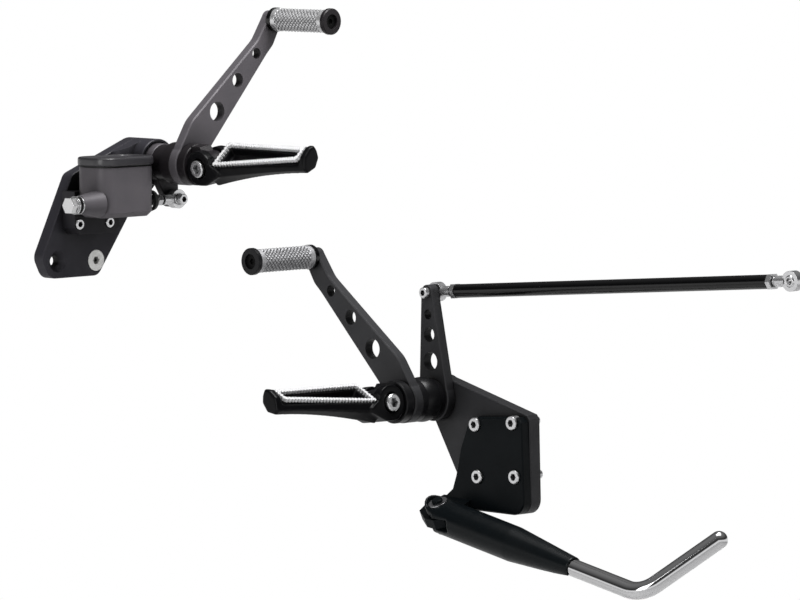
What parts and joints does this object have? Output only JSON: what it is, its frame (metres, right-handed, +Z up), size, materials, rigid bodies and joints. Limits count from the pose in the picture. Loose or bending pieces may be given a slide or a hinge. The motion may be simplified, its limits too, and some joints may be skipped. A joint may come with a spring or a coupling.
{
  "type": "motorcycle forward controls",
  "caption": "Forward control set with a shift side carrying a folding kickstand and shift rod, and a brake side with its master cylinder, both with folding foot pegs and toe pegs.",
  "frame": {"origin": "where the shift side's pivot axis meets the back face of its bracket, the face that bolts to the frame", "axes": "+X out of that back face, toward the motorcycle's frame; +Y forward and +Z up for the shift side; the brake side is turned a quarter turn beside it, forward along +X"},
  "size_m": [0.2602, 0.7912, 0.5101],
  "materials": {
    "bracket_black": "satin black anodised",
    "bracket_brown": "matte brown-black anodised",
    "plate_black": "satin powder coat",
    "peg_black": "satin black",
    "tread_silver": "machined, serrated",
    "steel_bright": "bright zinc",
    "chrome_rod": "polished chrome",
    "gloss_black": "gloss black",
    "bronze": "turned bronze",
    "rubber": "matte",
    "plain_steel": "ground"
  },
  "bodies": {
    "base": {"left_bracket": "bracket_black", "kickstand_plate": "plate_black", "kickstand_plate_screws": "steel_bright", "left_spindle": "plain_steel", "left_washer": "bronze", "left_peg_mount": "bracket_black", "left_peg_bolt": "steel_bright", "right_bracket": "bracket_brown", "right_frame_screw": "steel_bright", "master_cylinder_body": "bracket_brown", "reservoir_cap": "bracket_brown", "reservoir_diaphragm": "rubber", "cylinder_screws": "steel_bright", "return_spring": "plain_steel", "dust_boot": "rubber", "outlet_bolt": "steel_bright", "outlet_washers": "steel_bright", "right_spindle": "plain_steel", "right_peg_mount": "bracket_brown", "right_peg_bolt": "steel_bright"},
    "shift_pedal": {"left_bush": "bronze", "shift_lever": "bracket_black", "shift_collar": "bracket_black", "shift_sleeve": "bracket_black", "shift_arm": "bracket_black", "shift_toe_pin": "gloss_black", "shift_toe_sleeve": "steel_bright", "shift_toe_end_ring": "gloss_black", "shift_toe_bolt": "gloss_black", "front_rod_end_ball": "chrome_rod", "shift_rod_bolt": "steel_bright", "shift_rod_bolt_nut": "steel_bright"},
    "shift_linkage": {"front_rod_end": "steel_bright", "front_jam_nut": "steel_bright", "shift_rod": "gloss_black", "rear_jam_nut": "steel_bright", "rear_rod_end": "steel_bright", "rear_rod_end_ball": "chrome_rod"},
    "left_peg": {"left_peg_body": "peg_black", "left_peg_tread": "tread_silver"},
    "kickstand": {"kickstand_barrel": "plate_black", "kickstand_foot": "chrome_rod", "kickstand_pin": "steel_bright", "kickstand_clips": "steel_bright"},
    "brake_pedal": {"right_bush": "bronze", "brake_lever": "bracket_brown", "brake_hub": "bracket_brown", "brake_arm": "bracket_brown", "brake_toe_pin": "gloss_black", "brake_toe_sleeve": "steel_bright", "brake_toe_end_ring": "gloss_black", "brake_toe_bolt": "gloss_black", "pushrod_end_ball": "chrome_rod", "pushrod_bolt": "steel_bright"},
    "pushrod": {"pushrod": "steel_bright", "pushrod_nut": "steel_bright", "pushrod_end": "steel_bright"},
    "piston": {"piston": "plain_steel"},
    "right_peg": {"right_peg_body": "peg_black", "right_peg_tread": "tread_silver"}
  },
  "joints": [
    {"name": "shift_swing", "type": "hinge", "parent": "base", "child": "shift_pedal", "pos_m": [0, 0, 0], "axis": [1, 0, 0], "range_deg": [-10, 10]},
    {"name": "shift_rod_swing", "type": "hinge", "parent": "shift_pedal", "child": "shift_linkage", "pos_m": [-0.0082, 0.007, 0.097], "axis": [1, 0, 0], "range_deg": [-10, 10]},
    {"name": "left_peg_fold", "type": "hinge", "parent": "base", "child": "left_peg", "pos_m": [-0.0907, 0, 0], "axis": [0, 0.9903, -0.1392], "range_deg": [0, 45]},
    {"name": "kickstand_swing", "type": "hinge", "parent": "base", "child": "kickstand", "pos_m": [-0.042, -0.033, -0.104], "axis": [0.4305, 0, -0.9026], "range_deg": [0, 90]},
    {"name": "brake_swing", "type": "hinge", "parent": "base", "child": "brake_pedal", "pos_m": [-0.088, 0.299, 0.207], "axis": [0, 1, 0], "range_deg": [0, 8], "stiffness_Nm_per_rad": 60, "springref_deg": -2.86},
    {"name": "pushrod_swing", "type": "hinge", "parent": "brake_pedal", "child": "pushrod", "pos_m": [-0.0773, 0.2855, 0.1725], "axis": [0, 1, 0], "range_deg": [-8, 0]},
    {"name": "piston_slide", "type": "slide", "parent": "base", "child": "piston", "axis": [-1, 0, 0], "range_m": [0, 0.0052], "deforming": ["return_spring"]},
    {"name": "right_peg_fold", "type": "hinge", "parent": "base", "child": "right_peg", "pos_m": [-0.088, 0.2255, 0.207], "axis": [-0.9903, 0, -0.1392], "range_deg": [0, 45]}
  ],
  "couplings": [
    {"joint": "shift_rod_swing", "follows": "shift_swing", "ratio": -1},
    {"joint": "pushrod_swing", "follows": "brake_swing", "ratio": -1},
    {"joint": "piston_slide", "follows": "brake_swing", "m_per_rad": 0.0351}
  ]
}
